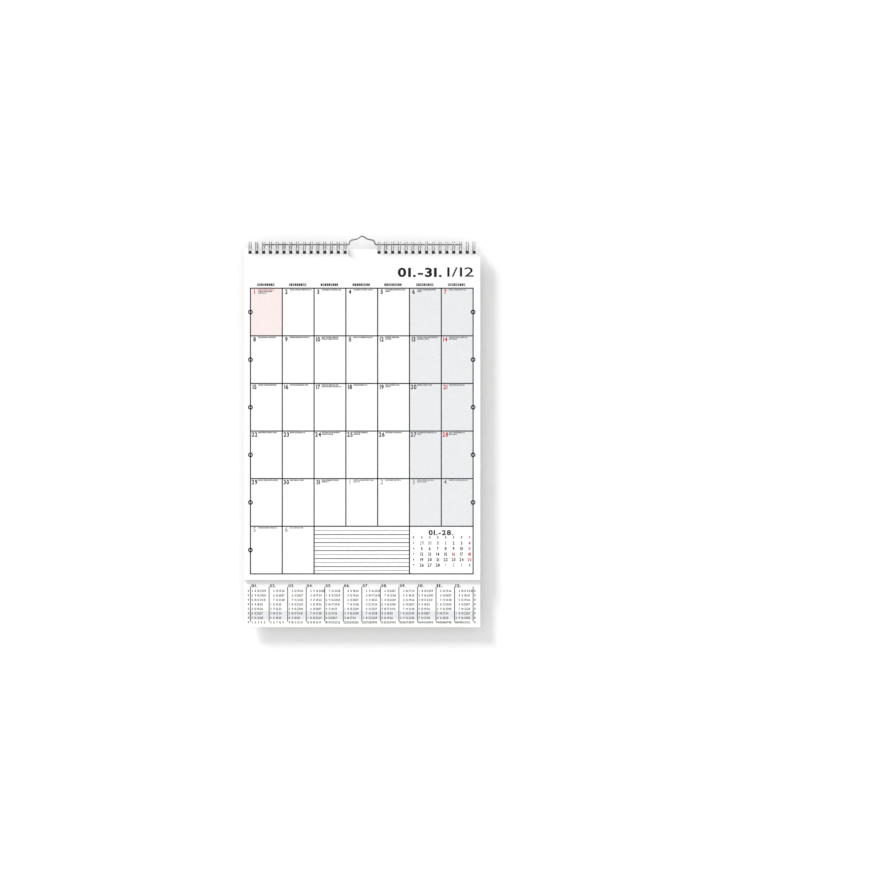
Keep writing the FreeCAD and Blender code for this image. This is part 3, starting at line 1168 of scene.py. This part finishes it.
@dataclass
class MonthPage:
    """The front page: a table of days, a row for notes and the small table of the next month.

    All sizes are in millimetres on the sheet.
    """

    left: float = 8.3
    top: float = 49.15
    column: float = 39.67
    row: float = 59.38
    stroke: float = 1.4
    figure: float = 5.9
    figure_place: tuple[float, float] = (5.1, 1.0)
    small: float = 1.425
    small_place: tuple[float, float] = (9.6, 1.3)
    small_step: float = 2.0
    first_reach: tuple[float, float] = (15.0, 26.0)
    later_reach: tuple[float, float] = (4.0, 24.0)
    days: int = 31
    tinted_cells: int = 35
    numbered_cells: int = 37
    rest_days: tuple[int, ...] = (5, 6)
    red_days: tuple[int, ...] = (1, 7, 14, 21, 28)
    short_lines: tuple[int, ...] = (3, 4, 6)
    ring: float = 6.0
    week_figure: float = 1.9
    title_middle: float = 28.7
    title_figure: float = 11.9
    heading: float = 46.3
    heading_letter: tuple[float, float] = (1.9, 3.1)
    heading_half: float = 11.5
    heading_step: float = 2.45
    notes: int = 11
    note_first: float = 5.4
    note_step: float = 4.99
    note_strokes: tuple[float, float] = (0.6, 0.9)
    next_title: tuple[float, float] = (246.0, 353.6)
    next_title_figure: float = 6.6
    next_title_width: float = 31.0
    next_weeks: float = 211.7
    next_first: tuple[float, float] = (222.0, 366.8)
    next_step: tuple[float, float] = (9.92, 6.87)
    next_letter: tuple[float, float] = (1.8, 2.4)
    next_figure: float = 4.2
    next_week_figure: float = 2.6
    next_days: int = 28
    next_first_cell: int = 3
    next_first_week: int = 5
    next_red: tuple[int, ...] = (4, 11, 16, 18, 25)

    def corner(self, cell: int) -> tuple[float, float]:
        """Find a cell's upper left corner, counted along the rows."""
        return self.left + cell % 7 * self.column, self.top + cell // 7 * self.row

    def draw_grid(self, dark: Print) -> None:
        """Draw the table's lines, with the week rings on both outer lines.

        Args:
            dark: the dark ink's marks.
        """
        right, bottom = self.left + 7 * self.column, self.top + 6 * self.row
        for number in range(7):
            level = self.top + number * self.row
            dark.line(self.left, level, right, level, self.stroke)
        for number in range(8):
            across = self.left + number * self.column
            end = bottom - self.row if number in self.short_lines else bottom
            dark.line(across, self.top, across, end, self.stroke)
        for week in range(6):
            for across in (self.left, right)[:1 if week == 5 else 2]:
                middle = self.top + (week + 0.5) * self.row
                dark.mark(RING, across - self.ring / 2, middle + self.ring / 2, self.ring,
                          self.ring)
                dark.write(str(week + 1), across, middle, self.week_figure, Side.MIDDLE)

    def draw_tints(self, page: PrintedSheet) -> None:
        """Lay the pale fields under the rest days and the first day.

        Args:
            page: the page.
        """
        inner = self.stroke / 2
        for cell in range(self.tinted_cells):
            across, level = self.corner(cell)
            name = "holiday" if cell == 0 else "tint" if cell % 7 in self.rest_days else None
            if name:
                page.inks[name].block(across + inner, level + inner, across + self.column - inner,
                                      level + self.row - inner)

    def draw_days(self, page: PrintedSheet) -> None:
        """Number the days, with small print beside each, and go on in grey into the next month.

        Args:
            page: the page.
        """
        dice = random.Random(11)
        for cell in range(self.numbered_cells):
            across, level = self.corner(cell)
            later = cell >= self.days
            day = cell - self.days + 1 if later else cell + 1
            red = day in self.red_days and not later
            ink = page.inks["grey" if later else "red" if red else "dark"]
            weight = Weight.LIGHT if later else Weight.BOLD
            right, down = self.figure_place
            ink.write(str(day), across + right, level + down + self.figure / 2, self.figure,
                      Side.MIDDLE, weight)
            lines = 3 if cell == 0 else dice.choice((1, 1, 2))
            for number in range(lines):
                reach = dice.uniform(*(self.later_reach if number else self.first_reach))
                tone = "red" if cell == 0 and number == 0 else "grey" if later else "dark"
                right, down = self.small_place
                page.inks[tone].small_print(dice, across + right,
                                            level + down + self.small_step * number, reach,
                                            self.small)

    def draw_headings(self, page: PrintedSheet) -> None:
        """Set the title, with the days it covers, and a stand-in for each column's heading.

        Args:
            page: the page.
        """
        dice = random.Random(5)
        dark = page.inks["dark"]
        for title, right, width, weight in (
                ("01.-31.", 247.0, 55.0, Weight.BOLD), ("1/12", 286.8, 33.0, Weight.LIGHT)):
            dark.write(title, right, self.title_middle, self.title_figure, Side.RIGHT, weight,
                       width)
        for column in range(7):
            middle = self.left + (column + 0.5) * self.column
            u = middle - self.heading_half
            while u < middle + self.heading_half - 1.0:
                dark.mark(dice.choice((BLOCK, FRAME)), u, self.heading, *self.heading_letter)
                u += self.heading_step

    def draw_notes(self, page: PrintedSheet) -> None:
        """Rule the note lines under the third to the fifth column.

        Args:
            page: the page.
        """
        start, end = self.left + 2 * self.column, self.left + 5 * self.column
        for number in range(self.notes):
            level = self.top + 5 * self.row + self.note_first + self.note_step * number
            ink = page.inks["dark" if number % 2 else "grey"]
            ink.line(start, level, end, level, self.note_strokes[number % 2])

    def draw_next_month(self, page: PrintedSheet) -> None:
        """Set the small table of the next month in the last two columns.

        Args:
            page: the page.
        """
        dark = page.inks["dark"]
        dark.write("01.-28.", *self.next_title, self.next_title_figure, Side.MIDDLE, Weight.BOLD,
                   self.next_title_width)
        (first, level), (step, drop) = self.next_first, self.next_step
        wide, tall = self.next_letter
        for column in range(-1, 7):
            u = self.next_weeks if column < 0 else first + column * step
            ink = page.inks["red"] if column == 6 else dark
            ink.mark(FRAME, u - wide / 2, level - drop + tall / 2, wide, tall)
        for cell in range(35):
            row, column = divmod(cell, 7)
            day = cell - self.next_first_cell + 1
            near = 1 <= day <= self.next_days
            shown = day if near else day + self.days if day < 1 else day - self.next_days
            red = near and shown in self.next_red
            ink = page.inks["red" if red else "dark" if near else "grey"]
            ink.write(str(shown), first + column * step, level + row * drop, self.next_figure,
                      Side.MIDDLE, Weight.BOLD if near else Weight.LIGHT)
            if column == 0:
                dark.write(str(row + self.next_first_week), self.next_weeks, level + row * drop,
                           self.next_week_figure, Side.MIDDLE)

    def draw(self, page: PrintedSheet) -> None:
        """Put all the print on the page.

        Args:
            page: the page.
        """
        self.draw_tints(page)
        self.draw_grid(page.inks["dark"])
        self.draw_days(page)
        self.draw_headings(page)
        self.draw_notes(page)
        self.draw_next_month(page)


@dataclass
class YearStrip:
    """The card's strip below the pages: twelve small months side by side, a weekday to a row."""

    left: float = 8.36
    month: float = 23.14
    top: float = 426.6
    row: float = 5.6
    week: float = 3.8
    first_week: float = 2.2
    figure: float = 2.95
    rule: float = 1.0
    rule_rise: float = 4.6
    rule_rows: float = 6.8
    tint_rows: tuple[float, float] = (4.5, 6.4)
    tint_margins: tuple[float, float] = (3.4, 3.0)
    letter: tuple[float, float] = (1.6, 2.2)
    letter_margins: tuple[float, float] = (2.6, 2.2)
    label: tuple[float, float] = (1.0, 6.5)
    label_figure: float = 3.9
    label_width: float = 7.4
    most_weeks: int = 5
    lengths: tuple[int, ...] = (31, 28, 31, 30, 31, 30, 31, 31, 30, 31, 30, 31)

    def draw(self, card: PrintedSheet) -> None:
        """Put all the print on the strip.

        Args:
            card: the card.
        """
        dark, tint = card.inks["dark"], card.inks["tint"]
        months = len(self.lengths)
        end = self.left + months * self.month
        (upper, lower), (before, behind) = self.tint_rows, self.tint_margins
        tint.block(self.left - before, self.top + upper * self.row, end + behind,
                   self.top + lower * self.row)
        for number in range(months + 1):
            across = self.left + number * self.month
            dark.line(across, self.top - self.rule_rise, across,
                      self.top + self.rule_rows * self.row, self.rule)
        (wide, tall), (before, behind) = self.letter, self.letter_margins
        for row in range(8):
            for across in (self.left - before, end + behind):
                dark.mark(FRAME, across - wide / 2, self.top + row * self.row + tall / 2, wide,
                          tall)
        past = 0
        for number, length in enumerate(self.lengths):
            start = self.left + number * self.month
            right, rise = self.label
            dark.write(f"{number + 1:02d}.", start + right, self.top - rise, self.label_figure,
                       Side.LEFT, width=self.label_width)
            weekday = past % 7
            weeks = (weekday + length + 6) // 7
            for day in range(1, length + 1):
                week, row = divmod(weekday + day - 1, 7)
                dark.write(str(day), start + self.first_week + week * self.week,
                           self.top + row * self.row, self.figure, Side.MIDDLE)
            for week in range(min(weeks, self.most_weeks)):
                dark.write(str(past // 7 + 1 + week), start + self.first_week + week * self.week,
                           self.top + 7 * self.row, self.figure, Side.MIDDLE)
            past += length


@dataclass
class Studio:
    """A white wall close behind, a pale floor, soft light from the upper left, and the camera.

    A dark strip right behind the card, seen only through the holes, is painted shade that keeps
    them dark.
    """

    photo_width: float = 1.0852
    distance: float = 6.0
    centre: tuple[float, float] = (0.091, -0.2471)
    wall: float = 10.0 * MM
    floor: float = -0.84
    reach: float = 3.0
    sun_from: tuple[float, float, float] = (-1.6, -1.0, 2.0)
    sun_angle: float = 16.0
    sun_strength: float = 2.8
    sky: float = 0.515
    clear_reach: float = 60 * MM
    wall_grey: float = 0.985
    floor_grey: float = 0.55
    # The painted shade strip behind the holes: its grey, its rows below the card's top, and its
    # gap behind the card.
    shade_grey: float = 0.1
    shade_rows: tuple[float, float] = (1.5 * MM, 7.5 * MM)
    shade_gap: float = 0.05 * MM

    def plane(self, name: str, corners: list[tuple[float, float, float]], grey: float,
              one_sided: bool) -> None:
        """Stage one flat backdrop.

        Args:
            name: its name.
            corners: its corners, with its face to the reader or up.
            grey: how pale it is, from 0 to 1.
            one_sided: whether it is clear when it is seen from behind, and lets light
                through to what hangs close before it.
        """
        mesh = bpy.data.meshes.new(name)
        mesh.from_pydata(corners, [], [(0, 1, 2, 3)])
        shader = Shader(name).set(Roughness=1.0, Specular_IOR_Level=0.0)
        shader.set(Base_Color=(grey, grey, grey, 1.0))
        if one_sided:
            clear = shader.nodes.new("ShaderNodeBsdfTransparent")
            mix = shader.nodes.new("ShaderNodeMixShader")
            facing = shader.nodes.new("ShaderNodeNewGeometry")
            rays = shader.nodes.new("ShaderNodeLightPath")
            near, close, either = (shader.nodes.new("ShaderNodeMath") for _ in range(3))
            for node, operation in ((near, "LESS_THAN"), (close, "MULTIPLY"), (either, "MAXIMUM")):
                node.operation = operation
            near.inputs[1].default_value = self.clear_reach
            shader.links.new(rays.outputs["Ray Length"], near.inputs[0])
            shader.links.new(near.outputs[0], close.inputs[0])
            shader.links.new(rays.outputs["Is Diffuse Ray"], close.inputs[1])
            shader.links.new(close.outputs[0], either.inputs[0])
            shader.links.new(facing.outputs["Backfacing"], either.inputs[1])
            shader.links.new(either.outputs[0], mix.inputs["Fac"])
            shader.links.new(shader.surface.outputs["BSDF"], mix.inputs[1])
            shader.links.new(clear.outputs["BSDF"], mix.inputs[2])
            shader.links.new(mix.outputs["Shader"],
                             shader.nodes["Material Output"].inputs["Surface"])
        mesh.materials.append(shader.material)
        piece = bpy.data.objects.new(name, mesh)
        bpy.context.scene.collection.objects.link(piece)

    def light(self) -> None:
        """Light the scene with a white sky and one soft sun."""
        world = bpy.data.worlds.new("studio")
        bpy.context.scene.world = world
        world.use_nodes = True
        nodes, links = world.node_tree.nodes, world.node_tree.links
        rays = nodes.new("ShaderNodeLightPath")
        seen = None
        for name in ("Is Camera Ray", "Is Glossy Ray", "Is Transmission Ray"):
            either = nodes.new("ShaderNodeMath")
            either.operation = "MAXIMUM"
            links.new(rays.outputs[name], either.inputs[0])
            if seen:
                links.new(seen, either.inputs[1])
            seen = either.outputs[0]
        strength = nodes.new("ShaderNodeMapRange")
        strength.inputs["To Min"].default_value = self.sky
        links.new(seen, strength.inputs["Value"])
        nodes["Background"].inputs["Color"].default_value = (1.0, 1.0, 1.0, 1.0)
        links.new(strength.outputs["Result"], nodes["Background"].inputs["Strength"])
        sun = bpy.data.lights.new("window_light", "SUN")
        sun.energy, sun.angle = self.sun_strength, math.radians(self.sun_angle)
        lamp = bpy.data.objects.new("window_light", sun)
        lamp.rotation_euler = Vector(self.sun_from).to_track_quat("Z", "Y").to_euler()
        bpy.context.scene.collection.objects.link(lamp)

    def build(self, front: float) -> None:
        """Set up the backdrop, the light and the camera.

        Args:
            front: the place of the pages' front, which the photograph's scale holds for.
        """
        near, far, back = -self.reach, self.reach, self.wall
        self.plane("wall", [(near, back, self.floor), (far, back, self.floor), (far, back, far),
                            (near, back, far)], self.wall_grey, True)
        self.plane("floor", [(near, near, self.floor), (far, near, self.floor),
                             (far, back, self.floor), (near, back, self.floor)],
                   self.floor_grey, False)
        low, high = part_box("back_card")
        # Painted shade: a dark strip just behind the card, seen only through the punched holes, so
        # that they read dark.
        behind = high.y + self.shade_gap
        row_top, row_bottom = (high.z - each for each in self.shade_rows)
        self.plane("hole_shade", [(low.x, behind, row_bottom), (high.x, behind, row_bottom),
                                  (high.x, behind, row_top), (low.x, behind, row_top)],
                   self.shade_grey, True)
        self.light()
        lens = bpy.data.cameras.new("camera")
        lens.lens = lens.sensor_width * self.distance / self.photo_width
        lens.clip_end = 100.0
        camera = bpy.data.objects.new("camera", lens)
        camera.location = (self.centre[0], front - self.distance, self.centre[1])
        camera.rotation_euler = (math.pi / 2, 0.0, 0.0)
        bpy.context.scene.collection.objects.link(camera)
        bpy.context.scene.camera = camera
        bpy.context.scene.view_settings.view_transform = "Standard"


def main() -> None:
    """Build the calendar around its frame, then the studio."""
    logging.basicConfig(level=logging.INFO, format="%(name)s: %(message)s")
    binding = Binding()
    board = BoardFinish()
    leaves = leaf_tree()
    pages = PunchedStack("month_leaves", "pages", "month_sheets", "page_paper", leaves=12,
                         leaf_pitch=0.15 * MM, thickness=0.115 * MM, notch_half=17.4 * MM,
                         notch_depth=12.32 * MM, curl_share=1.0, curl_loss=0.03,
                         loose_fit=0.12 * MM)
    pages.build(leaves, binding, PaperFinish().material())
    low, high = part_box("back_card")
    card = PunchedStack("backing_board", "backing", "back_card", "backing_card", leaves=1,
                        leaf_pitch=0.0, thickness=high.y - low.y)
    back_with_board(card.build(leaves, binding, board.face()), board.back())
    combs = comb_tree()
    bright = WireFinish("comb_wire", bright=(0.42, 0.42, 0.43), streaked=(0.09, 0.09, 0.1),
                        roughness=(0.22, 0.38), swells=(260.0, 260.0, 260.0)).material()
    for node, seed in (("left_wire_comb", 4), ("right_wire_comb", 9)):
        WireComb(node, seed).build(combs, binding, bright)
    satin = WireFinish("hanger_wire", bright=(0.26, 0.26, 0.27), streaked=(0.17, 0.17, 0.18),
                       roughness=(0.3, 0.45), swells=(60.0, 900.0, 900.0)).material()
    WireHanger().build(satin)
    typeface, tree = Typeface(), print_tree()
    inks = {name: InkFinish(f"{name}_ink", colour).material()
            for name, (_, colour) in INK_COLOURS.items()}
    page = PrintedSheet("page", "pages", binding.front, pages.curl_share, typeface, binding,
                        tuple(INK_COLOURS))
    MonthPage().draw(page)
    page.build(tree, inks)
    strip = PrintedSheet("card", "backing", low.y, card.curl_share, typeface, binding,
                         ("dark", "tint"))
    YearStrip().draw(strip)
    strip.build(tree, inks)
    typeface.discard()
    Studio().build(binding.front)


if __name__ == "__main__":
    main()
